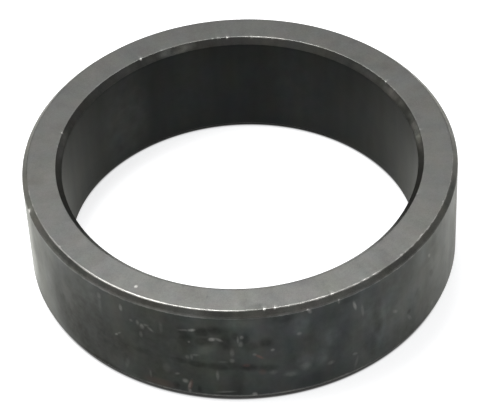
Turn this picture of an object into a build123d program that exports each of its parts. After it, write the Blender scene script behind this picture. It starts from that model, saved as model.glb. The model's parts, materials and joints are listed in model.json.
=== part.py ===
"""Spacer sleeve: a plain turned steel ring that slides over a shaft and holds two
neighbouring parts a fixed distance apart.

The sleeve is one solid. It stands on its lower end face, with the origin in the
middle of that face and +Z along the bore. Lengths are in millimetres.
"""

import os

from build123d import *

# Driving dimensions
bore_diameter = 90.0  # the hole that slides over the shaft
wall_thickness = 10.0  # from the bore to the outside, so the sleeve is 110 across
sleeve_length = 31.0  # the distance that the two end faces keep
bore_chamfer = 1.5  # 45 degree lead-in at both mouths of the bore
upper_chamfer = 1.3  # 45 degree chamfer at the upper end of the outside
lower_chamfer = 2.0  # the same at the lower end, where it is cut a little deeper
corner_radius = 0.15  # rounding that deburring leaves on each turned corner

with BuildPart() as spacer_sleeve:
    # Section through the wall on one side of the axis, turned about it.
    with BuildSketch(Plane.XZ) as wall_section:
        with Locations((bore_diameter / 2, 0)):
            Rectangle(wall_thickness, sleeve_length, align=(Align.MIN, Align.MIN))
        corners = wall_section.vertices().group_by(Axis.X)
        bore_corners = corners[0]
        lower_corner, upper_corner = corners[-1].sort_by(Axis.Y)
        chamfer(bore_corners, length=bore_chamfer)
        chamfer(lower_corner, length=lower_chamfer)
        chamfer(upper_corner, length=upper_chamfer)
        fillet(wall_section.vertices(), radius=corner_radius)
    revolve(axis=Axis.Z)

spacer_sleeve.part.label = "spacer_sleeve"

os.makedirs("parts", exist_ok=True)
export_step(spacer_sleeve.part, "parts/spacer_sleeve.step")
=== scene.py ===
"""The looks of a turned spacer sleeve in blackened steel, with the stage it is shown on.

Lengths are in metres, as Blender's are, unless a name or a table says millimetres. Angles round the
sleeve start at its front, -Y, and grow towards +X.
"""

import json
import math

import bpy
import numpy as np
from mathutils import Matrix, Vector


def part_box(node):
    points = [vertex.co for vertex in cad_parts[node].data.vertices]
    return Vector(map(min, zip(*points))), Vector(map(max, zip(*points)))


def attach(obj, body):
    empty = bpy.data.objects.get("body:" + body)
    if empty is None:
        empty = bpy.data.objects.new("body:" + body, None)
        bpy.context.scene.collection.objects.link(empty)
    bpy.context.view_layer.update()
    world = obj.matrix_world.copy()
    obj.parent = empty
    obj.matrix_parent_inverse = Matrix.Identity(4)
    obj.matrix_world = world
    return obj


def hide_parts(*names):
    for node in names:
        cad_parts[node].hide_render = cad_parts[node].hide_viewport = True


bl_info = {
    "name": "Blackened spacer sleeve",
    "version": (1, 0, 0),
    "blender": (4, 5, 0),
    "location": "View3D > Sidebar > Sleeve",
    "description": "Builds a turned steel sleeve with a worn black finish, and a plain stage",
    "category": "Object",
}

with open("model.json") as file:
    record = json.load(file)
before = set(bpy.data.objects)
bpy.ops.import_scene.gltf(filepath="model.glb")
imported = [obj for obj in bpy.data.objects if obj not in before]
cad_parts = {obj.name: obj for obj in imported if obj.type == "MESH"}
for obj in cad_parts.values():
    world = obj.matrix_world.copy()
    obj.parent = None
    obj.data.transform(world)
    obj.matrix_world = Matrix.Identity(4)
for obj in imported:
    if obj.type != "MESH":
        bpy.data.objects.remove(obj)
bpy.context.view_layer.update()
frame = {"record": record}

NODE = "spacer_sleeve"
MM = 0.001

# The sizes that the CAD frame gives: the box of the node and the bore that its mount states.
LOWEST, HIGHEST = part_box(NODE)
BORE = next(m for m in frame["record"]["mounts"] if m["kind"] == "bore")
OUTSIDE_RADIUS = min(-LOWEST.x, HIGHEST.x, -LOWEST.y, HIGHEST.y)
BORE_RADIUS = BORE["dims"]["r_mm"] * MM
LENGTH = HIGHEST.z - LOWEST.z
BORE_CHAMFER = (LENGTH - BORE["dims"]["length_mm"] * MM) / 2

WALL_MIDDLE = (OUTSIDE_RADIUS + BORE_RADIUS) / 2
WALL_HALF = (OUTSIDE_RADIUS - BORE_RADIUS) / 2

# The chamfers of the outside, which the frame doesn't give.
UPPER_CHAMFER = 1.3 * MM
LOWER_CHAMFER = 2.0 * MM

# The runs of the wall's section, from the lower end outwards, up, inwards and down again: the
# finish that each has, and how many steps it is cut into.
RUNS = (
    ("end", 7),
    ("outer_chamfer", 5),
    ("outside", 12),
    ("outer_chamfer", 5),
    ("end", 7),
    ("bore_chamfer", 5),
    ("bore", 8),
    ("bore_chamfer", 5),
)
STEPS_ROUND_A_CORNER = 3
BARE_AT = 0.1 * MM  # a nick this deep is rubbed bare


# What all settings that are a colour, and all that are a share, have in common.
COLOUR = {"subtype": "COLOR", "size": 3, "min": 0.0, "max": 1.0}
SHARE = {"subtype": "FACTOR", "min": 0.0, "max": 1.0}


class SleeveShape(bpy.types.PropertyGroup):
    """The sizes of the sleeve that its frame doesn't give."""

    upper_chamfer: bpy.props.FloatProperty(
        name="Upper chamfer",
        description="Width of the 45 degree chamfer at the upper end of the outside",
        default=UPPER_CHAMFER,
        min=0.1 * MM,
        unit="LENGTH",
        precision=5,
    )
    lower_chamfer: bpy.props.FloatProperty(
        name="Lower chamfer",
        description="Width of the 45 degree chamfer at the lower end of the outside",
        default=LOWER_CHAMFER,
        min=0.1 * MM,
        unit="LENGTH",
        precision=5,
    )
    corner_radius: bpy.props.FloatProperty(
        name="Corner radius",
        description="Rounding that deburring leaves on each turned corner",
        default=0.15 * MM,
        min=0.01 * MM,
        unit="LENGTH",
        precision=5,
    )
    steps_round: bpy.props.IntProperty(
        name="Steps round",
        description="How many steps the surface has round the bore, a multiple of four",
        default=1260,
        min=24,
        step=4,
    )
    small_nicks: bpy.props.IntProperty(
        name="Small nicks",
        description="How many small handling nicks are spread over the corners",
        default=110,
        min=0,
    )


class SleeveFinish(bpy.types.PropertyGroup):
    """The colours of the finish and how much it is worn."""

    oxide: bpy.props.FloatVectorProperty(
        name="Oxide",
        description="Colour of the black oxide on the outside",
        default=(0.0281, 0.0310, 0.0306),
        **COLOUR,
    )
    bore_oxide: bpy.props.FloatVectorProperty(
        name="Bore oxide",
        description="Colour of the thicker black oxide in the bore",
        default=(0.0142, 0.0154, 0.0149),
        **COLOUR,
    )
    chamfer_oxide: bpy.props.FloatVectorProperty(
        name="Chamfer oxide",
        description="Colour of the thin, brownish oxide on the chamfers",
        default=(0.1000, 0.1000, 0.0920),
        **COLOUR,
    )
    lead_in_oxide: bpy.props.FloatVectorProperty(
        name="Lead-in oxide",
        description="Colour of the dark oxide on the lead-in chamfers of the bore",
        default=(0.0590, 0.0590, 0.0548),
        **COLOUR,
    )
    ground: bpy.props.FloatVectorProperty(
        name="Ground end",
        description="Colour of the ground and lightly blackened end faces",
        default=(0.1855, 0.1868, 0.1770),
        **COLOUR,
    )
    glance: bpy.props.FloatVectorProperty(
        name="Glance",
        description="Colour that the finish takes on where it is seen at a glancing angle",
        default=(1.0, 1.0, 0.955),
        **COLOUR,
    )
    # Also the colour of the painted highlights on the upper outer rim.
    bare: bpy.props.FloatVectorProperty(
        name="Bare steel",
        description="Colour of the steel where the oxide is rubbed off",
        default=(0.62, 0.61, 0.58),
        **COLOUR,
    )
    rust: bpy.props.FloatVectorProperty(
        name="Rust",
        description="Colour of the faint rust in a few scratches",
        default=(0.130, 0.062, 0.052),
        **COLOUR,
    )
    # This also sets how strong the painted highlights on the rim are.
    wear: bpy.props.FloatProperty(
        name="Wear",
        description="How much of the oxide is rubbed off at corners and scuffs",
        default=1.0,
        **SHARE,
    )


class SleeveStage(bpy.types.PropertyGroup):
    """Where the camera stands, the light and the floor."""

    elevation: bpy.props.FloatProperty(
        name="Elevation",
        description="How far the camera looks down",
        subtype="ANGLE",
        default=math.radians(44.22),
    )
    roll: bpy.props.FloatProperty(
        name="Roll",
        description="How far the camera leans to one side",
        subtype="ANGLE",
        default=math.radians(-2.98),
    )
    distance: bpy.props.FloatProperty(
        name="Distance",
        description="From the middle of the sleeve to the camera",
        default=626.3 * MM,
        unit="LENGTH",
    )
    slide: bpy.props.FloatVectorProperty(
        name="Slide",
        description="How far the camera is moved to its right and upwards, to set the sleeve in view",
        size=2,
        default=(-0.41 * MM, -2.41 * MM),
        subtype="XYZ",
        unit="LENGTH",
        precision=5,
    )
    lens: bpy.props.FloatProperty(
        name="Lens",
        description="Focal length in millimetres on a 36 mm wide sensor",
        default=183.05,
    )
    softbox_place: bpy.props.FloatVectorProperty(
        name="Softbox",
        description="Where the softbox hangs, overhead and a little behind, turned to face the sleeve",
        size=3,
        default=(-0.017, 0.311, 0.876),
        subtype="XYZ",
        unit="LENGTH",
    )
    softbox_size: bpy.props.FloatProperty(
        name="Softbox size",
        description="Side of the square softbox",
        default=0.26,
        unit="LENGTH",
    )
    softbox_power: bpy.props.FloatProperty(
        name="Softbox power",
        description="Light that the softbox gives",
        default=2.6,
        subtype="POWER",
    )
    side_lamp_place: bpy.props.FloatVectorProperty(
        name="Side lamp",
        description="Where the second lamp hangs, overhead on the left, turned to face the sleeve",
        size=3,
        default=(-0.25, 0.05, 0.88),
        subtype="XYZ",
        unit="LENGTH",
    )
    side_lamp_size: bpy.props.FloatProperty(
        name="Side lamp size",
        description="Side of the square side lamp",
        default=0.30,
        unit="LENGTH",
    )
    side_lamp_power: bpy.props.FloatProperty(
        name="Side lamp power",
        description="Light that the side lamp gives",
        default=3.2,
        subtype="POWER",
    )
    room: bpy.props.FloatProperty(
        name="Room",
        description="How bright the room is all round, against its wall on the left",
        default=0.48,
        **SHARE,
    )
    wall_colour: bpy.props.FloatVectorProperty(
        name="Wall",
        description="Colour of the room's wall on the left",
        default=(1.0, 0.99, 0.90),
        **COLOUR,
    )
    floor_colour: bpy.props.FloatVectorProperty(
        name="Floor",
        description="Colour of the floor",
        default=(0.80, 0.80, 0.80),
        **COLOUR,
    )
    floor_glow: bpy.props.FloatProperty(
        name="Floor glow",
        description="How white the floor is by itself, to the camera and in reflections",
        default=0.70,
        **SHARE,
    )


# ---------------------------------------------------------------- shape


def wall_section(shape):
    """The wall's closed outline: radius, height, outward normal and run number of each point.

    A straight run is cut at (1 - cos(pi k / n)) / 2 of its length, which crowds the points towards
    its corners. A corner is an arc of the corner radius, tangent to both runs: its centre plus the
    radius times (cos f, sin f) in the directions of the run's outward normal and the run itself.
    """
    corners = np.array(
        [
            (OUTSIDE_RADIUS - shape.lower_chamfer, 0.0),
            (OUTSIDE_RADIUS, shape.lower_chamfer),
            (OUTSIDE_RADIUS, LENGTH - shape.upper_chamfer),
            (OUTSIDE_RADIUS - shape.upper_chamfer, LENGTH),
            (BORE_RADIUS + BORE_CHAMFER, LENGTH),
            (BORE_RADIUS, LENGTH - BORE_CHAMFER),
            (BORE_RADIUS, BORE_CHAMFER),
            (BORE_RADIUS + BORE_CHAMFER, 0.0),
        ]
    )
    steps_along = corners - np.roll(corners, 1, axis=0)
    along = steps_along / np.linalg.norm(steps_along, axis=1, keepdims=True)
    outwards = np.stack([along[:, 1], -along[:, 0]], axis=1)
    points, normals, runs = [], [], []
    for k, (_, steps) in enumerate(RUNS):
        turn_in = math.acos(np.clip(along[k - 1] @ along[k], -1, 1))
        turn_out = math.acos(np.clip(along[k] @ along[(k + 1) % len(RUNS)], -1, 1))
        start = corners[k - 1] + along[k] * shape.corner_radius * math.tan(turn_in / 2)
        end = corners[k] - along[k] * shape.corner_radius * math.tan(turn_out / 2)
        share = (1 - np.cos(np.pi * np.arange(steps + 1) / steps))[:, None] / 2
        points.append(start + (end - start) * share)
        normals.append(np.repeat(outwards[k : k + 1], steps + 1, axis=0))
        # The arc's own points lie between this run's end and the next run's start.
        f = (turn_out * np.arange(1, STEPS_ROUND_A_CORNER) / STEPS_ROUND_A_CORNER)[:, None]
        ray = outwards[k] * np.cos(f) + along[k] * np.sin(f)
        centre = end - outwards[k] * shape.corner_radius
        points.append(centre + shape.corner_radius * ray)
        normals.append(ray)
        runs += [k] * (steps + STEPS_ROUND_A_CORNER)
    seam = RUNS[0][1] // 2  # the outline starts in the middle of the lower end
    outline = (np.concatenate(points), np.concatenate(normals), np.array(runs))
    return [np.roll(row, -seam, axis=0) for row in outline]


def around(angle):
    """Unit vectors that point away from the axis at these angles."""
    return np.stack([np.sin(angle), -np.cos(angle), np.zeros_like(angle)], axis=-1)


def corner_circles(shape):
    """Radius and height of the corners that get nicked, by the name that the tables use."""
    return {
        "outer rim": (OUTSIDE_RADIUS - shape.upper_chamfer, LENGTH),
        "outer edge": (OUTSIDE_RADIUS, LENGTH - shape.upper_chamfer),
        "bore rim": (BORE_RADIUS + BORE_CHAMFER, LENGTH),
        "lower outer rim": (OUTSIDE_RADIUS - shape.lower_chamfer, 0.0),
        "lower outer edge": (OUTSIDE_RADIUS, shape.lower_chamfer),
        "lower bore rim": (BORE_RADIUS + BORE_CHAMFER, 0.0),
    }


# Nicks that show: angle in degrees, corner, half width and depth in mm.
NICKS = (
    (4.2, "outer rim", 0.42, 0.10),
    (6.9, "outer rim", 0.38, 0.10),
    (15.0, "outer edge", 0.40, 0.08),
    (22.0, "outer rim", 0.45, 0.08),
    (23.4, "outer edge", 0.35, 0.07),
    (-74.6, "outer edge", 0.60, 0.16),
    (-178.0, "bore rim", 0.40, 0.10),
    (-148.0, "bore rim", 0.42, 0.10),
    (-105.0, "bore rim", 0.38, 0.08),
    (123.0, "bore rim", 0.38, 0.08),
    (167.0, "bore rim", 0.50, 0.06),
    (174.0, "bore rim", 0.60, 0.06),
)


def nick_list(shape):
    """The nicks that show, and small ones spread by chance: angle, radius, height, width, depth."""
    circles = corner_circles(shape)
    chance = np.random.default_rng(31)
    drawn = zip(
        chance.uniform(-180, 180, shape.small_nicks),
        chance.choice(list(circles), shape.small_nicks),
        chance.uniform(0.25, 0.5, shape.small_nicks),
        chance.uniform(0.02, 0.06, shape.small_nicks),
    )
    every = list(NICKS) + list(drawn)
    return [(math.radians(a), *circles[corner], w * MM, d * MM) for a, corner, w, d in every]


def sleeve_surface(shape):
    """Points of the sleeve on a grid of angle by section, how deep each is nicked, the section that they
    follow, and the run that each point of the section is on.

    A point is (r sin a, -r cos a, z). A nick moves it inwards along its normal by the nick's depth
    times exp(-(d / w)^2), where d is the distance from the nick's middle and w its half width.
    """
    section, normals, runs = wall_section(shape)
    angles = -np.pi + 2 * np.pi * np.arange(shape.steps_round) / shape.steps_round
    away = around(angles)
    up = np.array([0.0, 0.0, 1.0])
    points = away[:, None] * section[None, :, :1] + up * section[None, :, 1:]
    inwards = -(away[:, None] * normals[None, :, :1] + up * normals[None, :, 1:])
    depth = np.zeros(points.shape[:2])
    for angle, radius, height, width, deep in nick_list(shape):
        middle = around(np.array(angle)) * radius + up * height
        near = np.linalg.norm(points - middle, axis=2)
        depth = np.maximum(depth, deep * np.exp(-((near / width) ** 2)))
    points += inwards * depth[..., None]
    return points, depth, section, runs


def flat_map(steps_round, section):
    """Where each face's four corners lie on a flat map of the surface.

    The ring is cut into four equal quarters, set two by two. Across a quarter the map follows the
    angle, and up it the length of the section, with the short steps at the corners given more room.
    """
    quarters = 4
    margin = 0.006
    short = 0.5 * MM
    extra_room = 0.12 * MM
    steps = np.linalg.norm(np.roll(section, -1, axis=0) - section, axis=1)
    room = steps + extra_room * (steps < short)
    up = np.concatenate([[0.0], np.cumsum(room)]) / room.sum()
    per_quarter = steps_round // quarters
    quarter, inside = np.divmod(np.arange(steps_round), per_quarter)
    cell = 0.5 - 2 * margin
    left = (quarter % 2) * 0.5 + margin + cell * inside / per_quarter
    right = left + cell / per_quarter
    low = (quarter // 2) * 0.5 + margin
    below, above = up[:-1] * cell, up[1:] * cell
    u = np.broadcast_to(
        np.stack([left, right, right, left], -1)[:, None], (steps_round, len(section), 4)
    )
    v = low[:, None, None] + np.stack([below, below, above, above], -1)[None]
    return np.stack([u, v], -1)


def put(name, data):
    """A new object of the scene, which holds this data."""
    thing = bpy.data.objects.new(name, data)
    bpy.context.scene.collection.objects.link(thing)
    return thing


def build_sleeve(shape):
    """The sleeve's mesh: four-sided faces between neighbouring angles and section points."""
    points, depth, section, runs = sleeve_surface(shape)
    columns, rows = points.shape[:2]
    number = np.arange(columns * rows).reshape(columns, rows)
    after = np.roll(number, -1, axis=0)
    faces = np.stack([number, after, np.roll(after, -1, axis=1), np.roll(number, -1, axis=1)], -1)
    finishes = list(FINISHES)
    finish_of_run = np.array([finishes.index(finish) for finish, _ in RUNS])
    mesh = bpy.data.meshes.new("sleeve")
    mesh.vertices.add(columns * rows)
    mesh.vertices.foreach_set("co", points.astype(np.float32).ravel())
    mesh.loops.add(faces.size)
    mesh.loops.foreach_set("vertex_index", faces.astype(np.int32).ravel())
    mesh.polygons.add(columns * rows)
    mesh.polygons.foreach_set("loop_start", np.arange(0, faces.size, 4, dtype=np.int32))
    mesh.polygons.foreach_set("material_index", np.tile(finish_of_run[runs], columns).astype(np.int32))
    mesh.polygons.foreach_set("use_smooth", np.ones(columns * rows, dtype=bool))
    nicked = mesh.attributes.new("nicked", "FLOAT", "POINT")
    nicked.data.foreach_set("value", (depth / BARE_AT).clip(0, 1).astype(np.float32).ravel())
    flat = mesh.uv_layers.new(name="OFBake")
    flat.data.foreach_set("uv", flat_map(columns, section).astype(np.float32).ravel())
    mesh.update(calc_edges=True)
    mesh.validate()
    return put("sleeve", mesh)


# ---------------------------------------------------------------- nodes


def add(tree, kind, inputs=(), **settings):
    """A new node. inputs maps a socket's name or number to its value or to the socket that feeds it."""
    new = tree.nodes.new(kind)
    for name, value in settings.items():
        setattr(new, name, value)
    for socket, value in dict(inputs).items():
        if isinstance(value, bpy.types.NodeSocket):
            tree.links.new(value, new.inputs[socket])
        else:
            new.inputs[socket].default_value = value
    return new


def maths(tree, operation, *values, clamp=False):
    """One sum of one, two or three values."""
    return add(tree, "ShaderNodeMath", enumerate(values), operation=operation, use_clamp=clamp).outputs[0]


def on_vector(tree, operation, first, second):
    """One sum of a vector or colour with another, or with a number where it is scaled."""
    inputs = {0: first, "Scale" if operation == "SCALE" else 1: second}
    return add(tree, "ShaderNodeVectorMath", inputs, operation=operation).outputs[0]


def colour_mix(tree, share, first, second):
    """The first colour, with this share of the second."""
    return add(tree, "ShaderNodeMix", {0: share, 6: first, 7: second}, data_type="RGBA").outputs[2]


def ease(tree, value, low, high, to_low=0.0, to_high=1.0):
    """Maps low..high to to_low..to_high along a smooth step."""
    inputs = {0: value, 1: low, 2: high, 3: to_low, 4: to_high}
    return add(tree, "ShaderNodeMapRange", inputs, interpolation_type="SMOOTHSTEP").outputs[0]


def span(tree, value, low, high, to_low, to_high):
    """Maps low..high to to_low..to_high along a line, and stops at both ends."""
    inputs = {0: value, 1: low, 2: high, 3: to_low, 4: to_high}
    return add(tree, "ShaderNodeMapRange", inputs).outputs[0]


def in_mm(tree):
    """The point on the piece, in millimetres."""
    return on_vector(tree, "SCALE", add(tree, "ShaderNodeTexCoord").outputs["Object"], 1 / MM)


def slant(tree, one, other):
    """How far apart two points are, from their distances in two directions at right angles."""
    square = maths(tree, "ADD", maths(tree, "POWER", one, 2.0), maths(tree, "POWER", other, 2.0))
    return maths(tree, "SQRT", square)


def from_axis(tree, parts):
    """Distance from the axis, from the parts of a point."""
    return slant(tree, parts[0], parts[1])


def noise(tree, point, size, stretch=(1, 1, 1), detail=2.0, roughness=0.5):
    """Noise whose blots are about this many millimetres across, drawn out along X, Y and Z."""
    placed = on_vector(tree, "MULTIPLY", point, [1 / (size * s) for s in stretch])
    inputs = {"Vector": placed, "Scale": 1.0, "Detail": detail, "Roughness": roughness}
    return add(tree, "ShaderNodeTexNoise", inputs).outputs


def swing(tree, point, size, stretch=(1, 1, 1), detail=2.0, roughness=0.5):
    """Noise that swings from -1 to 1."""
    return span(tree, noise(tree, point, size, stretch, detail, roughness)["Fac"], 0.25, 0.75, -1, 1)


def new_group(name, inputs, outputs):
    """An empty node group with these number sockets and these outputs, and its two end nodes."""
    tree = bpy.data.node_groups.new(name, "ShaderNodeTree")
    for label, value in inputs.items():
        socket = tree.interface.new_socket(label, in_out="INPUT", socket_type="NodeSocketFloat")
        socket.default_value = value
    for label, kind in outputs.items():
        tree.interface.new_socket(label, in_out="OUTPUT", socket_type="NodeSocket" + kind)
    return tree, tree.nodes.new("NodeGroupInput").outputs, tree.nodes.new("NodeGroupOutput")


# How the oxide's colour drifts: towards olive brown and back to blue grey, and towards green and back.
WARMER = (0.8, 0.25, -0.7)
GREENER = (-0.45, 0.45, -0.15)
ELSEWHERE = (90.0, 0.0, 0.0)  # a step in mm that makes one noise unlike the other


def patches_group():
    """Blots and faint streaks of thicker and thinner oxide, and their drift in hue.

    The streaks stand upright on the walls and point away from the axis on the ends. Shade swings
    about 0 and Tone about white, and Grit is the finest part of Shade by itself."""
    tree, given, out = new_group(
        "Oxide patches",
        {"Blots": 0.1, "Streaks": 0.03, "Grit": 0.05, "Hue": 0.03},
        {"Shade": "Float", "Tone": "Color", "Grit": "Float"},
    )
    point = in_mm(tree)
    broad = swing(tree, point, 12.0, (1, 1, 1.2), detail=1.5)
    blots = swing(tree, point, 4.5, (1, 1, 1.3), detail=2.0, roughness=0.6)
    flecks = swing(tree, point, 1.3, (1, 1, 1.5), detail=2.0, roughness=0.6)
    clouds = maths(tree, "MULTIPLY_ADD", blots, 0.8, maths(tree, "MULTIPLY_ADD", flecks, 0.35, broad))
    weighed = maths(tree, "MULTIPLY", clouds, given["Blots"])
    parts = add(tree, "ShaderNodeSeparateXYZ", {0: point}).outputs
    outwards = on_vector(tree, "DIVIDE", point, from_axis(tree, parts))
    spokes = swing(tree, on_vector(tree, "SCALE", outwards, OUTSIDE_RADIUS / MM), 3.5, (1, 1, 10))
    upright = maths(tree, "MULTIPLY", spokes, given["Streaks"])
    fine = maths(tree, "MULTIPLY", swing(tree, point, 0.3, roughness=0.7), given["Grit"])
    shade = maths(tree, "ADD", maths(tree, "ADD", weighed, upright), fine)
    tree.links.new(shade, out.inputs["Shade"])
    warmth = maths(tree, "MULTIPLY", swing(tree, point, 6.0, (1, 1, 1.5), detail=2.0), given["Hue"])
    other_point = on_vector(tree, "ADD", point, ELSEWHERE)
    greenness = maths(tree, "MULTIPLY", swing(tree, other_point, 4.0), given["Hue"])
    warmed = on_vector(tree, "SCALE", WARMER, warmth)
    greened = on_vector(tree, "SCALE", GREENER, greenness)
    tone = on_vector(tree, "ADD", on_vector(tree, "ADD", warmed, greened), (1.0, 1.0, 1.0))
    tree.links.new(tone, out.inputs["Tone"])
    tree.links.new(fine, out.inputs["Grit"])
    return tree


def lines_group():
    """Fine turning lines that run round the axis: noise over radius and height that hardly changes
    with the angle. The angle goes in as its cosine and sine, so the pattern has no seam."""
    tree, given, out = new_group("Turning lines", {"Spacing": 0.2, "Waver": 0.6}, {"Height": "Float"})
    parts = add(tree, "ShaderNodeSeparateXYZ", {0: in_mm(tree)}).outputs
    radius = from_axis(tree, parts)
    waver = maths(tree, "DIVIDE", given["Waver"], radius)
    placed = add(
        tree,
        "ShaderNodeCombineXYZ",
        {
            0: maths(tree, "DIVIDE", radius, given["Spacing"]),
            1: maths(tree, "DIVIDE", parts[2], given["Spacing"]),
            2: maths(tree, "MULTIPLY", parts[0], waver),
        },
    ).outputs[0]
    inputs = {"Vector": placed, "W": maths(tree, "MULTIPLY", parts[1], waver), "Scale": 1.0, "Detail": 3.0}
    lines = add(tree, "ShaderNodeTexNoise", inputs, noise_dimensions="4D").outputs["Fac"]
    tree.links.new(span(tree, lines, 0.25, 0.75, -1, 1), out.inputs["Height"])
    return tree


def edge_group():
    """A line along a circle round the sleeve, within a stretch of angle, worn bare or a painted highlight.

    The circle is given by its radius and height, and the stretch by its middle and half its span,
    which it leaves over the fade. Ragged makes the line's width uneven, and Gaps breaks it up."""
    tree, given, out = new_group(
        "Worn line",
        {
            "Radius": 54.0,
            "Height": 31.0,
            "Width": 0.3,
            "Middle": 0.0,
            "Half span": math.pi,
            "Fade": 0.08,
            "Ragged": 0.3,
            "Gaps": 0.0,
        },
        {"Mask": "Float"},
    )
    point = in_mm(tree)
    parts = add(tree, "ShaderNodeSeparateXYZ", {0: point}).outputs
    across = maths(tree, "SUBTRACT", from_axis(tree, parts), given["Radius"])
    up = maths(tree, "SUBTRACT", parts[2], given["Height"])
    near = slant(tree, across, up)
    uneven = maths(tree, "MULTIPLY", swing(tree, point, 0.9, detail=3.0, roughness=0.65), given["Ragged"])
    reach = maths(tree, "MULTIPLY_ADD", uneven, given["Width"], given["Width"])
    close = ease(tree, maths(tree, "DIVIDE", near, maths(tree, "MAXIMUM", reach, 0.01)), 0.4, 1.2, 1.0, 0.0)
    angle = maths(tree, "ARCTAN2", parts[0], maths(tree, "MULTIPLY", parts[1], -1.0))
    off = maths(tree, "WRAP", maths(tree, "SUBTRACT", angle, given["Middle"]), math.pi, -math.pi)
    past = maths(tree, "SUBTRACT", maths(tree, "ABSOLUTE", off), given["Half span"])
    within = ease(tree, maths(tree, "DIVIDE", past, given["Fade"]), -1.0, 1.0, 1.0, 0.0)
    worn = ease(tree, swing(tree, point, 1.8, detail=2.0), -0.25, 0.25)
    kept = maths(tree, "SUBTRACT", 1.0, maths(tree, "MULTIPLY", worn, given["Gaps"]))
    mask = maths(tree, "MULTIPLY", maths(tree, "MULTIPLY", close, within), kept)
    tree.links.new(mask, out.inputs["Mask"])
    return tree


def new_material(name):
    """An empty material, and its node tree."""
    material = bpy.data.materials.new(name)
    material.use_nodes = True
    material.node_tree.nodes.clear()
    return material, material.node_tree


def placed_marks(tree, marks):
    """The strongest of these marks at each point. A mark is a soft-edged ball squeezed to its size: angle
    in degrees, radius and height of its middle, half sizes across, round and up, lean in degrees and
    strength. A lean above 0 lifts its right end, seen from outside."""
    point = in_mm(tree)
    field = None
    for angle, radius, height, half_across, half_round, half_up, lean, strength in marks:
        turn = math.radians(angle)
        middle = around(np.array(turn)) * radius
        inputs = {
            "Vector": point,
            "Location": (middle[0], middle[1], height),
            "Rotation": (math.radians(lean), 0.0, turn - math.pi / 2),
            "Scale": (half_across, half_round, half_up),
        }
        ball = add(tree, "ShaderNodeMapping", inputs, vector_type="TEXTURE").outputs[0]
        soft = add(tree, "ShaderNodeTexGradient", {0: ball}, gradient_type="SPHERICAL").outputs["Fac"]
        mark = ease(tree, soft, 0.0, 0.8, 0.0, strength)
        field = mark if field is None else maths(tree, "MAXIMUM", field, mark)
    return field


# ---------------------------------------------------------------- finish


THROUGH = 1.5  # half size in mm of a mark through the surface, far more than a nick is deep


def on_outside(*rows):
    """Marks on the outside, from rows of angle, height, half sizes round and up, lean and strength."""
    return [(row[0], OUTSIDE_RADIUS / MM, row[1], THROUGH, *row[2:]) for row in rows]


def on_upper_end(*rows):
    """Marks on the upper end, from rows of angle, radius, half sizes across and round, and strength."""
    return [
        (angle, radius, LENGTH / MM, across, wide, THROUGH, 0.0, strength)
        for angle, radius, across, wide, strength in rows
    ]


def on_bore(*rows):
    """Marks in the bore, from rows of angle, height, half sizes round and up, and strength."""
    return [
        (angle, BORE_RADIUS / MM, height, THROUGH, wide, tall, 0.0, strength)
        for angle, height, wide, tall, strength in rows
    ]


def on_slope(radius, height, rows):
    """Marks on the chamfer whose middle has this radius and height, from rows of angle, half sizes round
    and up, and strength."""
    return [
        (angle, radius / MM, height / MM, THROUGH, wide, tall, 0.0, strength)
        for angle, wide, tall, strength in rows
    ]


def on_lead_in(*rows):
    """Marks on the upper lead-in chamfer of the bore."""
    return on_slope(BORE_RADIUS + BORE_CHAMFER / 2, LENGTH - BORE_CHAMFER / 2, rows)


def on_chamfer(*rows):
    """Marks on the upper outer chamfer."""
    return on_slope(OUTSIDE_RADIUS - UPPER_CHAMFER / 2, LENGTH - UPPER_CHAMFER / 2, rows)


def far_scuffs():
    """Scuffs spread by chance over the far side of the outside, in rows as on_outside takes them."""
    how_many = 14
    chance = np.random.default_rng(12)
    lowest = (100.0, 4.0, 0.5, 0.5, -40.0, 0.15)
    highest = (260.0, 28.0, 1.4, 2.2, 40.0, 0.45)
    return chance.uniform(lowest, highest, (how_many, len(lowest))).tolist()


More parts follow.
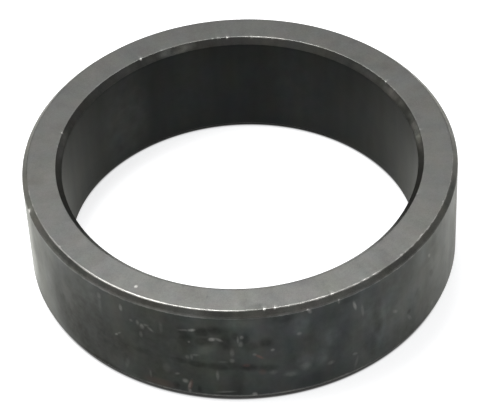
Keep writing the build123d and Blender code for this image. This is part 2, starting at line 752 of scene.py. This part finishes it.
# Where the marks lie. Angles and leans are in degrees, places and sizes in mm.
SCUFFS = on_outside(
    *far_scuffs(),
    (-14.3, 24.8, 1.3, 0.7, 20.0, 0.75),
    (-16.4, 24.4, 2.2, 0.5, 10.0, 0.3),
    (-9.3, 22.2, 1.3, 0.9, 15.0, 0.75),
    (-7.6, 22.2, 1.5, 0.7, -30.0, 0.45),
    (-15.2, 20.5, 0.5, 0.6, 0.0, 0.4),
    (-1.8, 23.1, 0.7, 0.9, 0.0, 0.4),
    (-2.8, 22.2, 0.4, 2.0, 0.0, 0.33),
    (-2.2, 20.7, 0.9, 1.4, 0.0, 0.28),
    (-4.4, 17.7, 0.8, 2.1, 0.0, 0.26),
    (-4.5, 14.9, 0.9, 1.2, 0.0, 0.3),
    (-28.9, 23.0, 0.7, 1.2, 0.0, 0.36),
    (-27.7, 22.2, 0.9, 1.3, 0.0, 0.5),
    (-26.6, 23.0, 1.2, 0.6, 10.0, 0.33),
    (-25.4, 22.0, 1.4, 0.6, -40.0, 0.34),
    (-28.2, 19.2, 0.7, 1.5, 0.0, 0.27),
    (-30.8, 22.9, 0.7, 0.7, 0.0, 0.35),
    (-22.4, 23.7, 0.7, 2.5, 0.0, 0.15),
    (-15.9, 15.0, 0.8, 1.0, 0.0, 0.26),
    (-14.8, 15.3, 0.6, 1.5, 0.0, 0.27),
    (-13.9, 16.1, 1.5, 0.6, 10.0, 0.25),
    (-8.4, 9.4, 0.6, 2.4, 0.0, 0.35),
    (-18.9, 8.3, 1.0, 0.6, 25.0, 0.33),
    (-21.7, 9.5, 1.4, 2.4, 0.0, 0.15),
    (-16.9, 6.2, 1.1, 1.1, 0.0, 0.6),
    (-15.9, 4.6, 0.5, 2.4, -14.0, 0.45),
    (-15.9, 2.8, 0.6, 1.0, 0.0, 0.5),
    (-6.5, 3.6, 3.4, 0.5, 6.0, 0.35),
    (0.8, 2.6, 0.9, 1.0, 0.0, 0.85),
    (1.2, 16.9, 0.7, 0.7, 0.0, 0.25),
    (5.8, 17.9, 0.7, 0.7, 0.0, 0.45),
    (-6.8, 14.4, 1.8, 0.5, 0.0, 0.13),
    (5.8, 9.9, 1.4, 1.2, 0.0, 0.18),
    (10.2, 8.2, 2.2, 1.1, -10.0, 0.2),
    (-33.6, 26.0, 0.7, 1.6, 0.0, 0.6),
    (-35.8, 15.5, 0.9, 0.5, 44.0, 0.6),
    (-34.9, 16.4, 1.3, 0.4, 44.0, 0.3),
    (-26.4, 5.8, 0.5, 1.8, 0.0, 0.27),
    (-33.2, 6.5, 0.9, 3.0, -12.0, 0.17),
    (-40.4, 26.5, 0.9, 1.6, 0.0, 0.36),
    (-40.4, 23.5, 0.8, 4.0, 0.0, 0.14),
    (12.7, 22.0, 0.9, 0.9, 0.0, 0.33),
    (27.9, 25.4, 0.6, 2.3, 13.0, 0.7),
    (30.2, 22.5, 0.6, 3.0, 6.0, 0.25),
    (14.2, 9.9, 2.0, 2.0, 0.0, 0.2),
    (21.0, 8.6, 1.3, 1.0, 0.0, 0.28),
    (27.9, 8.3, 1.1, 0.7, -25.0, 0.3),
    (28.3, 5.2, 0.6, 3.0, -12.0, 0.18),
    (15.5, 29.0, 0.7, 1.3, 20.0, 0.55),
    (23.4, 29.2, 0.5, 1.3, 0.0, 0.45),
    (55.3, 23.6, 0.7, 1.3, 30.0, 0.55),
    (41.0, 15.1, 0.7, 1.6, 45.0, 0.36),
    (46.6, 8.8, 0.7, 2.2, 30.0, 0.27),
    (57.4, 4.9, 0.9, 1.0, 0.0, 0.33),
    (-75.0, 21.0, 1.6, 6.0, 0.0, 0.24),
    (74.0, 24.0, 1.2, 7.0, 0.0, 0.3),
    (79.0, 18.0, 1.2, 9.0, 0.0, 0.3),
)
# Paler oxide, and one painted sheen: the broad row at -80 degrees paints the left side's reflection of the
# bright room.
PALE_PATCHES_AND_SHEEN = on_outside(
    (13.0, 24.3, 3.6, 6.0, 0.0, 0.7),
    (21.0, 17.7, 3.6, 4.0, 0.0, 0.8),
    (14.0, 12.0, 3.4, 3.4, 0.0, 0.8),
    (18.5, 11.5, 2.4, 4.4, 0.0, 0.7),
    (10.5, 8.4, 3.2, 1.8, 0.0, 0.7),
    (-11.5, 18.0, 4.5, 2.5, 30.0, 0.6),
    (31.5, 18.5, 3.6, 9.0, 0.0, 0.75),
    (37.2, 16.0, 1.8, 6.5, 0.0, 0.6),
    (48.0, 17.0, 7.0, 6.0, 0.0, 0.45),
    (-24.0, 26.0, 3.5, 3.0, 0.0, 0.4),
    (-45.0, 26.0, 9.0, 6.0, 0.0, 0.5),
    (-53.5, 18.5, 3.5, 4.0, 0.0, 0.5),
    (-3.0, 27.8, 6.0, 2.5, 0.0, 0.5),
    (-37.0, 5.5, 4.0, 4.0, 0.0, 0.4),
    # painted sheen on the left side, not paler oxide
    (-80.0, 15.0, 12.0, 26.0, 0.0, 2.2),
    (-59.0, 28.0, 6.0, 3.0, 0.0, 0.5),
    (35.0, 15.0, 18.0, 26.0, 0.0, 0.5),
)
# Dark smudges, and painted shade: the rows marked below paint shade, not dirt.
SMUDGES_AND_SHADE = on_outside(
    (-16.8, 22.2, 4.6, 6.6, 0.0, 0.75),
    (-11.9, 24.4, 2.9, 2.6, 0.0, 1.0),
    (-8.2, 25.2, 3.9, 2.2, 0.0, 0.8),
    (-11.6, 21.3, 3.6, 2.4, 10.0, 0.75),
    (-6.0, 21.6, 2.6, 4.2, 0.0, 0.62),
    (-3.5, 23.6, 1.5, 2.2, 0.0, 0.55),
    (-0.9, 22.4, 1.5, 3.2, 0.0, 0.62),
    (0.4, 19.8, 3.4, 2.2, 0.0, 0.5),
    (4.2, 20.4, 2.7, 2.8, 0.0, 0.7),
    (-27.0, 13.4, 9.0, 2.8, 0.0, 0.65),
    (-18.3, 13.3, 4.2, 2.0, -3.0, 0.8),
    (-13.6, 12.9, 5.0, 1.7, -3.0, 0.75),
    (-8.0, 12.5, 5.0, 1.9, -4.0, 0.62),
    (-4.4, 13.1, 2.8, 2.6, 0.0, 0.6),
    (-0.4, 12.3, 4.4, 1.9, -4.0, 0.72),
    (4.0, 11.8, 4.4, 1.9, -8.0, 0.6),
    (-3.4, 7.2, 2.7, 10.0, 0.0, 0.42),
    (-19.4, 4.0, 1.7, 2.4, 0.0, 0.9),
    (-13.3, 3.8, 0.9, 2.0, 0.0, 0.7),
    (35.9, 26.3, 3.4, 4.5, 0.0, 0.38),
    (34.9, 20.0, 2.0, 9.0, 0.0, 0.48),
    (35.0, 14.0, 2.1, 5.0, 0.0, 0.6),
    (33.6, 8.0, 2.0, 8.0, 0.0, 0.42),
    (9.0, 28.2, 4.6, 2.2, 0.0, 0.45),
    (26.0, 28.3, 4.5, 1.8, 0.0, 0.4),
    (20.5, 25.0, 8.0, 6.0, 0.0, 0.28),
    (26.0, 19.0, 6.0, 6.0, 0.0, 0.3),
    (16.0, 5.0, 5.0, 3.2, 0.0, 0.3),
    (-6.7, 3.0, 3.6, 0.9, 6.0, 0.5),
    (-36.0, 11.0, 9.0, 9.0, 0.0, 0.78),
    (-45.0, 12.0, 20.0, 26.0, 0.0, 0.95),
    (-23.0, 15.0, 20.0, 26.0, 0.0, 0.5),
    # painted shade on the right side, where it reflects the shadowed floor
    (80.0, 15.0, 18.0, 26.0, 0.0, 0.75),
    (-50.0, 9.0, 12.0, 12.0, 0.0, 1.15),
    (-57.0, 14.0, 6.0, 14.0, 0.0, 0.75),
    (46.4, 11.0, 1.1, 1.3, 0.0, 0.65),
    (44.0, 5.0, 16.0, 7.0, 0.0, 0.4),
    (50.0, 14.0, 1.6, 4.0, 10.0, 0.4),
    (56.5, 16.5, 1.2, 2.6, 40.0, 0.5),
    (57.0, 27.0, 4.0, 2.2, 0.0, 0.4),
    # painted shade: a dark band just above the foot of the wall, on both sides of the front
    (-43.0, 2.6, 13.0, 1.6, 0.0, 1.3),
    (45.0, 2.8, 15.0, 1.6, 0.0, 0.6),
)
# Olive hue of the oxide at the front, and a painted warm reflection on both sides.
OLIVE_HUE_AND_WARM_SHEEN = on_outside(
    # painted warm reflection on the left side
    (-76.0, 15.0, 60.0, 40.0, 0.0, 1.0),
    (-28.0, 15.0, 30.0, 40.0, 0.0, 0.55),
    (-10.0, 15.0, 20.0, 36.0, 0.0, 0.55),
    # painted warm reflection on the right side
    (82.0, 15.0, 26.0, 40.0, 0.0, 0.6),
)
BORE_PATCHES = on_bore(
    (222.0, 15.0, 15.0, 26.0, 0.75),
    (158.0, 15.0, 14.0, 26.0, 0.25),
    (196.0, 15.0, 10.0, 26.0, 0.25),
)
RUST_STREAKS = on_outside(
    (2.4, 16.0, 1.8, 0.6, -40.0, 0.9),
    (-15.6, 5.0, 0.8, 2.8, -12.0, 0.9),
    (-1.0, 13.2, 1.4, 0.9, 0.0, 0.5),
    (3.0, 10.4, 1.4, 1.6, 0.0, 0.4),
    (-24.0, 3.6, 6.0, 2.0, 0.0, 0.4),
)
END_SPECKS = on_upper_end(
    (-31.0, 51.2, 0.65, 0.6, 1.0),
    (-57.1, 53.5, 0.5, 0.6, 0.5),
    (45.0, 53.5, 0.5, 0.7, 0.5),
    (53.8, 53.5, 0.45, 1.1, 0.5),
    (67.8, 53.6, 0.45, 0.6, 0.4),
)
END_SMUDGES = on_upper_end(
    (2.5, 52.6, 1.6, 3.8, 0.42),
    (-0.5, 51.2, 1.8, 2.2, 0.3),
    (-11.0, 49.5, 0.9, 0.25, 0.4),
    (-84.0, 51.5, 3.0, 3.0, 0.3),
    (128.0, 50.0, 3.0, 4.0, 0.25),
)
LEAD_IN_PATCHES = on_lead_in(
    (98.0, 12.0, 1.8, 3.2),
    (118.0, 9.0, 1.4, 1.6),
    (132.0, 8.0, 1.2, 0.5),
    (171.0, 6.0, 1.5, 0.2),
    (200.0, 7.5, 1.8, 3.0),
    (208.0, 6.0, 1.4, 0.5),
    (219.0, 7.0, 1.3, 0.4),
    (260.0, 9.0, 1.6, 1.7),
)
CHAMFER_PATCHES = on_chamfer(
    (13.0, 6.0, 1.6, 1.0),
    (22.0, 7.0, 1.4, 0.7),
    (32.0, 7.0, 1.2, 0.7),
    (-14.0, 5.0, 1.4, 0.4),
    (-74.0, 9.0, 1.6, 0.7),
)
CHAMFER_SMUDGES = on_chamfer(
    (-6.0, 6.0, 2.0, 0.4),
    (-25.0, 6.0, 1.2, 0.3),
    (47.0, 7.0, 2.0, 0.25),
    (-52.0, 8.0, 2.0, 0.35),
    (72.0, 10.0, 2.0, 0.5),
)

# Worn lines round the sleeve: radius, height, width in mm, middle and half span in degrees, how ragged,
# how broken by gaps, and strength. The lines on the upper outer rim are partly a painted highlight of
# the softbox on the rounded corner, and partly steel rubbed bare.
RIM = ((OUTSIDE_RADIUS - UPPER_CHAMFER) / MM, LENGTH / MM)
EDGE = (OUTSIDE_RADIUS / MM, (LENGTH - UPPER_CHAMFER) / MM)
FOOT_EDGE = (OUTSIDE_RADIUS / MM, LOWER_CHAMFER / MM)
BORE_RIM = ((BORE_RADIUS + BORE_CHAMFER) / MM, LENGTH / MM)
WORN_AND_HIGHLIGHT_LINES = (
    # upper outer rim: steel worn bare and a painted highlight of the softbox
    (*RIM, 0.30, -34.0, 14.0, 0.3, 0.1, 1.0),
    (*RIM, 0.26, -11.0, 10.0, 0.4, 0.4, 0.78),
    (*RIM, 0.28, 23.0, 14.0, 0.7, 0.6, 0.8),
    (*RIM, 0.20, -56.0, 9.0, 0.6, 0.3, 0.6),
    (*RIM, 0.20, 52.0, 14.0, 0.8, 0.7, 0.5),
    (*RIM, 0.15, -74.0, 10.0, 0.7, 0.5, 0.5),
    (*RIM, 0.20, 72.0, 15.0, 0.8, 0.6, 0.35),
    (*EDGE, 0.45, 0.0, 64.0, 0.5, 0.4, 0.05),
    (*EDGE, 0.44, -20.0, 10.0, 0.5, 0.3, 0.15),
    (*EDGE, 0.48, -41.0, 11.0, 0.6, 0.3, 0.14),
    (*EDGE, 0.70, -57.0, 7.0, 0.5, 0.3, 0.14),
    (*EDGE, 0.42, 19.0, 15.0, 0.7, 0.4, 0.11),
    (*EDGE, 0.36, 29.5, 2.0, 0.5, 0.1, 0.15),
    (*EDGE, 0.42, 43.0, 10.0, 0.7, 0.5, 0.13),
    (*BORE_RIM, 0.26, 170.0, 5.5, 0.9, 0.5, 0.65),
    (*BORE_RIM, 0.16, 145.0, 34.0, 1.0, 1.0, 0.13),
    (*FOOT_EDGE, 0.50, -1.0, 15.0, 0.5, 0.3, 0.11),
    (*FOOT_EDGE, 0.44, 2.0, 30.0, 0.8, 0.5, 0.11),
    (*EDGE, 0.42, 180.0, 105.0, 0.7, 0.5, 0.10),
    (*FOOT_EDGE, 0.42, 180.0, 120.0, 0.8, 0.5, 0.09),
)

# What each finish is made of: base is the colour that it starts from, patches holds how strong its
# blots, streaks, grit and drift in hue are, and spacing and line_height are those of its turning lines
# in mm. The other keys are optional and hold marks: pale ones make the oxide lighter, in the share
# paleness, light ones rub it down to steel, in the share bareness, dark ones are smudges, and olive
# and rust ones change its hue. On the outside a few pale, dark and olive marks are painted light
# instead: a painted sheen on the left side, painted shade on the right side and along the foot of the
# wall, and a painted warm reflection on both sides.
FINISHES = {
    "outside": {
        "base": "oxide",
        "roughness": 0.42,
        "patches": {"Blots": 0.16, "Streaks": 0.09, "Grit": 0.04, "Hue": 0.09},
        "spacing": 0.25,
        "line_height": 0.002,
        "light": SCUFFS,
        "bareness": 0.16,
        "pale": PALE_PATCHES_AND_SHEEN,
        "paleness": 0.8,
        "olive": OLIVE_HUE_AND_WARM_SHEEN,
        "dark": SMUDGES_AND_SHADE,
        "rust": RUST_STREAKS,
    },
    "outer_chamfer": {
        "base": "chamfer_oxide",
        "roughness": 0.42,
        "patches": {"Blots": 0.16, "Streaks": 0.10, "Grit": 0.15, "Hue": 0.05},
        "spacing": 0.25,
        "line_height": 0.003,
        "pale": CHAMFER_PATCHES,
        "paleness": 0.6,
        "dark": CHAMFER_SMUDGES,
    },
    "end": {
        "base": "ground",
        "roughness": 0.38,
        "patches": {"Blots": 0.13, "Streaks": 0.08, "Grit": 0.13, "Hue": 0.035},
        "spacing": 0.18,
        "line_height": 0.003,
        "light": END_SPECKS,
        "bareness": 0.9,
        "dark": END_SMUDGES,
    },
    "bore_chamfer": {
        "base": "lead_in_oxide",
        "roughness": 0.42,
        "patches": {"Blots": 0.18, "Streaks": 0.10, "Grit": 0.12, "Hue": 0.05},
        "spacing": 0.25,
        "line_height": 0.003,
        "pale": LEAD_IN_PATCHES,
        "paleness": 0.8,
    },
    "bore": {
        "base": "bore_oxide",
        "roughness": 0.55,
        "patches": {"Blots": 0.055, "Streaks": 0.05, "Grit": 0.03, "Hue": 0.10},
        "spacing": 0.30,
        "line_height": 0.003,
        "pale": BORE_PATCHES,
        "paleness": 0.8,
    },
}


def group_node(tree, group, **values):
    """A group set into a tree, with these numbers on its sockets (an underscore stands for a space)."""
    placed = add(tree, "ShaderNodeGroup", node_tree=group)
    for label, value in values.items():
        placed.inputs[label.replace("_", " ")].default_value = value
    return placed.outputs


def worn_and_highlight_lines(tree, group, wear):
    """The strongest of the worn lines and painted highlights at each point."""
    field = None
    for radius, height, width, middle, half, ragged, gaps, strength in WORN_AND_HIGHLIGHT_LINES:
        line = group_node(
            tree,
            group,
            Radius=radius,
            Height=height,
            Width=width,
            Middle=math.radians(middle),
            Half_span=math.radians(half),
            Ragged=ragged,
            Gaps=gaps,
        )
        mark = maths(tree, "MULTIPLY", line["Mask"], strength * wear)
        field = mark if field is None else maths(tree, "MAXIMUM", field, mark)
    return field


# How strongly marks at their full strength show, and what they and the wear add to the roughness.
OLIVE = (1.03, 1.02, 0.86)  # what an olive patch multiplies the colour by, as oxide hue and as painted warm reflection
DARKNESS = 0.62  # the share of the colour that a smudge or a painted shade takes away
RUSTINESS = 0.28  # the share of rust in a rust streak
NICK_BARENESS = 0.8  # the share of bare steel in a nick
ROUGHER_WHERE_PALE = -0.05
ROUGHER_WHERE_DARK = 0.08
ROUGHER_WHERE_BARE = -0.08
ROUGHER_WHERE_THIN = -0.2
GRIT_HEIGHT = 0.02  # in mm


def scaled(tree, colour, more):
    """The colour times one plus this number."""
    return on_vector(tree, "SCALE", colour, maths(tree, "ADD", more, 1.0))


def clouded(tree, field, size, depth, level=1.0, detail=2.0, roughness=0.5):
    """The field times noise of this size in mm, which swings by the depth about the level."""
    noisy = swing(tree, in_mm(tree), size, detail=detail, roughness=roughness)
    return maths(tree, "MULTIPLY", field, maths(tree, "MULTIPLY_ADD", noisy, depth, level))


def marked_finish(tree, finish, look, colour, rough):
    """The colour and the roughness of the oxide with the marks that its finish has, some of which are
    painted sheen and painted shade.
    """
    if "pale" in look:
        # Paler oxide, and the painted sheen on the left side.
        pale = placed_marks(tree, look["pale"])
        lighter = maths(tree, "MULTIPLY", clouded(tree, pale, 3.0, 0.5, level=0.6), look["paleness"])
        rough = maths(tree, "MULTIPLY_ADD", pale, ROUGHER_WHERE_PALE, rough)
        colour = scaled(tree, colour, lighter)
    if "olive" in look:
        # Olive hue, and the painted warm reflection on both sides.
        olive = colour_mix(tree, placed_marks(tree, look["olive"]), (1.0, 1.0, 1.0, 1.0), (*OLIVE, 1.0))
        colour = on_vector(tree, "MULTIPLY", colour, olive)
    if "dark" in look:
        # Smudges, and the painted shade on the right side and along the foot of the wall.
        smudged_and_shaded = clouded(tree, placed_marks(tree, look["dark"]), 1.8, 0.35)
        dark = maths(tree, "MULTIPLY", smudged_and_shaded, DARKNESS)
        colour = on_vector(tree, "SCALE", colour, maths(tree, "SUBTRACT", 1.0, dark))
        rough = maths(tree, "MULTIPLY_ADD", dark, ROUGHER_WHERE_DARK, rough)
    if "rust" in look:
        rusty = maths(tree, "MULTIPLY", placed_marks(tree, look["rust"]), RUSTINESS * finish.wear)
        colour = colour_mix(tree, rusty, colour, (*finish.rust, 1.0))
    if "light" in look:
        torn = clouded(tree, placed_marks(tree, look["light"]), 0.5, 0.45, detail=3.0, roughness=0.7)
        rubbed = maths(tree, "MULTIPLY", torn, look["bareness"] * finish.wear, clamp=True)
        colour = colour_mix(tree, rubbed, colour, (*finish.bare, 1.0))
    return colour, rough


def rubbed_and_highlit_corners(tree, finish, line_group):
    """How bare the nicks and the worn lines are at each point, with the painted highlights on the rim."""
    ragged = swing(tree, in_mm(tree), 0.5, detail=3.0, roughness=0.7)
    nicked = add(tree, "ShaderNodeAttribute", attribute_name="nicked").outputs["Fac"]
    uneven = maths(tree, "MULTIPLY_ADD", ragged, 0.15, nicked)
    nicks = ease(tree, uneven, 0.2, 1.0, 0.0, NICK_BARENESS * finish.wear)
    return maths(tree, "MAXIMUM", nicks, worn_and_highlight_lines(tree, line_group, finish.wear))


def steel_material(name, finish, look, groups):
    """One finish of the sleeve: oxide or ground steel, with blots, marks, bare spots and turning lines,
    among them painted highlights, sheen and shade.
    """
    material, tree = new_material(name)
    patches = group_node(tree, groups["patches"], **look["patches"])
    colour = on_vector(tree, "MULTIPLY", patches["Tone"], getattr(finish, look["base"]))
    colour = scaled(tree, colour, patches["Shade"])
    rough = maths(tree, "MULTIPLY_ADD", patches["Shade"], ROUGHER_WHERE_THIN, look["roughness"])
    colour, rough = marked_finish(tree, finish, look, colour, rough)
    # Bare steel of nicks and worn lines, and the painted highlight on the upper outer rim.
    bare = rubbed_and_highlit_corners(tree, finish, groups["line"])
    colour = colour_mix(tree, bare, colour, (*finish.bare, 1.0))
    rough = maths(tree, "MULTIPLY_ADD", bare, ROUGHER_WHERE_BARE, rough)
    lines = group_node(tree, groups["lines"], Spacing=look["spacing"])
    height = maths(tree, "MULTIPLY", lines["Height"], look["line_height"])
    height = maths(tree, "MULTIPLY_ADD", patches["Grit"], GRIT_HEIGHT, height)
    bump = add(tree, "ShaderNodeBump", {"Height": height, "Distance": MM, "Strength": 1.0})
    shader = add(
        tree,
        "ShaderNodeBsdfPrincipled",
        {
            "Base Color": colour,
            "Roughness": maths(tree, "ADD", rough, 0.0, clamp=True),
            "Metallic": 1.0,
            "Specular Tint": (*finish.glance, 1.0),
            "Normal": bump.outputs[0],
        },
    )
    add(tree, "ShaderNodeOutputMaterial", {0: shader.outputs[0]})
    return material


# ---------------------------------------------------------------- stage


def seen_directly(tree):
    """1 for rays of the camera, and for those that metal and glass send on, and 0 for the rest."""
    path = add(tree, "ShaderNodeLightPath").outputs
    shiny = maths(tree, "MAXIMUM", path["Is Glossy Ray"], path["Is Transmission Ray"])
    return maths(tree, "MAXIMUM", path["Is Camera Ray"], shiny)


# Painted contact shade on the floor under the wall: how far in from the wall's sides it begins and is
# complete, in mm, and how white the floor still is there.
DARKER_FROM = 0.45
DARKEST_FROM = 1.1
WHITE_UNDER_WALL = 0.4
GLOW_COLOUR = (0.985, 0.99, 1.0, 1.0)


def floor_material(stage):
    """White paper with a glow of its own for the camera and for reflections. Under the wall it has no glow
    and is painted darker, a painted contact shade. The lamps' light comes on top of the glow, so that the
    sleeve's shadow shows."""
    material, tree = new_material("floor")
    seen = seen_directly(tree)
    parts = add(tree, "ShaderNodeSeparateXYZ", {0: in_mm(tree)}).outputs
    off_wall = maths(tree, "ABSOLUTE", maths(tree, "SUBTRACT", from_axis(tree, parts), WALL_MIDDLE / MM))
    # clear is 0 under the wall, where the paper gets its painted contact shade and loses its glow.
    clear = ease(tree, off_wall, WALL_HALF / MM - DARKEST_FROM, WALL_HALF / MM - DARKER_FROM)
    whiteness = span(tree, clear, 0.0, 1.0, WHITE_UNDER_WALL, 1.0)
    white = on_vector(tree, "SCALE", tuple(stage.floor_colour), whiteness)
    paper = add(tree, "ShaderNodeBsdfDiffuse", {"Color": white})
    strength = maths(tree, "MULTIPLY", maths(tree, "MULTIPLY", seen, clear), stage.floor_glow)
    glow = add(tree, "ShaderNodeEmission", {"Color": GLOW_COLOUR, "Strength": strength})
    both = add(tree, "ShaderNodeAddShader", {0: paper.outputs[0], 1: glow.outputs[0]})
    add(tree, "ShaderNodeOutputMaterial", {0: both.outputs[0]})
    return material


def build_floor(stage):
    """A square floor, far larger than the view and just under the sleeve."""
    half = 4.0
    under = -0.02 * MM
    corners = [(x * half, y * half, under) for x, y in ((-1, -1), (1, -1), (1, 1), (-1, 1))]
    mesh = bpy.data.meshes.new("floor")
    mesh.from_pydata(corners, [], [(0, 1, 2, 3)])
    mesh.materials.append(floor_material(stage))
    floor = put("floor", mesh)


def build_room(stage):
    """The room's light: even all round, with a low bright wall on the left. A direction's own X and Z say
    how far it points left and up, and the wall fades out between two values of each."""
    world = bpy.data.worlds.new("studio")
    world.use_nodes = True
    bpy.context.scene.world = world
    tree = world.node_tree
    tree.nodes.clear()
    direction = add(tree, "ShaderNodeTexCoord").outputs["Generated"]
    parts = add(tree, "ShaderNodeSeparateXYZ", {0: direction}).outputs
    leftward = ease(tree, parts[0], -0.95, -0.55, 1.0, 0.0)
    low = ease(tree, parts[2], 0.15, 0.45, 1.0, 0.0)
    wall = maths(tree, "MULTIPLY", leftward, low)
    colour = colour_mix(tree, wall, (1.0, 1.0, 1.0, 1.0), (*stage.wall_colour, 1.0))
    strength = span(tree, wall, 0.0, 1.0, stage.room, 1.0)
    sky = add(tree, "ShaderNodeBackground", {"Color": colour, "Strength": strength})
    add(tree, "ShaderNodeOutputWorld", {0: sky.outputs[0]})


def build_lamp(name, place, size, power):
    """A square lamp that faces the sleeve."""
    lamp = bpy.data.lights.new(name, "AREA")
    lamp.shape = "SQUARE"
    lamp.size = size
    lamp.energy = power
    holder = put(name, lamp)
    holder.location = place
    holder.rotation_euler = Vector(place).to_track_quat("Z", "Y").to_euler()


def build_camera(stage):
    """The camera, which looks down on the sleeve from the front and leans a little."""
    back = Vector((0.0, -math.cos(stage.elevation), math.sin(stage.elevation)))
    right = Vector((1.0, 0.0, 0.0))
    level = Matrix((right, back.cross(right), back)).transposed()
    turned = level @ Matrix.Rotation(stage.roll, 3, "Z")
    aim = Vector((0.0, 0.0, LENGTH / 2))
    place = aim + back * stage.distance + turned.col[0] * stage.slide[0] + turned.col[1] * stage.slide[1]
    camera = bpy.data.cameras.new("camera")
    camera.lens = stage.lens
    camera.sensor_width = 36.0
    camera.clip_start = 0.01
    stand = put("camera", camera)
    stand.matrix_world = Matrix.Translation(place) @ turned.to_4x4()
    bpy.context.scene.camera = stand


# ---------------------------------------------------------------- tools in the sidebar


class SLEEVE_OT_stage(bpy.types.Operator):
    """Set up the floor, the light and the camera"""

    bl_idname = "sleeve.stage"
    bl_label = "Set the stage"
    bl_options = {"REGISTER", "UNDO"}

    def execute(self, context):
        stage = context.scene.sleeve_stage
        build_floor(stage)
        build_room(stage)
        build_lamp("softbox", stage.softbox_place, stage.softbox_size, stage.softbox_power)
        build_lamp("side_lamp", stage.side_lamp_place, stage.side_lamp_size, stage.side_lamp_power)
        build_camera(stage)
        context.scene.view_settings.view_transform = "Standard"
        return {"FINISHED"}


class SLEEVE_OT_body(bpy.types.Operator):
    """Build the sleeve with its finish"""

    bl_idname = "sleeve.body"
    bl_label = "Build sleeve"
    bl_options = {"REGISTER", "UNDO"}

    def execute(self, context):
        finish = context.scene.sleeve_finish
        groups = {"patches": patches_group(), "lines": lines_group(), "line": edge_group()}
        piece = build_sleeve(context.scene.sleeve_shape)
        for name, look in FINISHES.items():
            piece.data.materials.append(steel_material("steel_" + name, finish, look, groups))
        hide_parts(NODE)
        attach(piece, "root")
        return {"FINISHED"}


class SLEEVE_PT_panel(bpy.types.Panel):
    """The sleeve's settings and tools"""

    bl_idname = "SLEEVE_PT_panel"
    bl_label = "Spacer sleeve"
    bl_space_type = "VIEW_3D"
    bl_region_type = "UI"
    bl_category = "Sleeve"

    def draw(self, context):
        for label, settings in PARTS.items():
            box = self.layout.box()
            for name in settings.__annotations__:
                box.prop(getattr(context.scene, label), name)
        self.layout.operator("sleeve.stage")
        self.layout.operator("sleeve.body")


PARTS = {"sleeve_shape": SleeveShape, "sleeve_finish": SleeveFinish, "sleeve_stage": SleeveStage}
CLASSES = (*PARTS.values(), SLEEVE_OT_stage, SLEEVE_OT_body, SLEEVE_PT_panel)


def register():
    for kind in CLASSES:
        bpy.utils.register_class(kind)
    for label, settings in PARTS.items():
        setattr(bpy.types.Scene, label, bpy.props.PointerProperty(type=settings))


def unregister():
    for label in PARTS:
        delattr(bpy.types.Scene, label)
    for kind in reversed(CLASSES):
        bpy.utils.unregister_class(kind)


def main():
    register()
    bpy.ops.sleeve.stage()
    bpy.ops.sleeve.body()


if __name__ == "__main__":
    main()
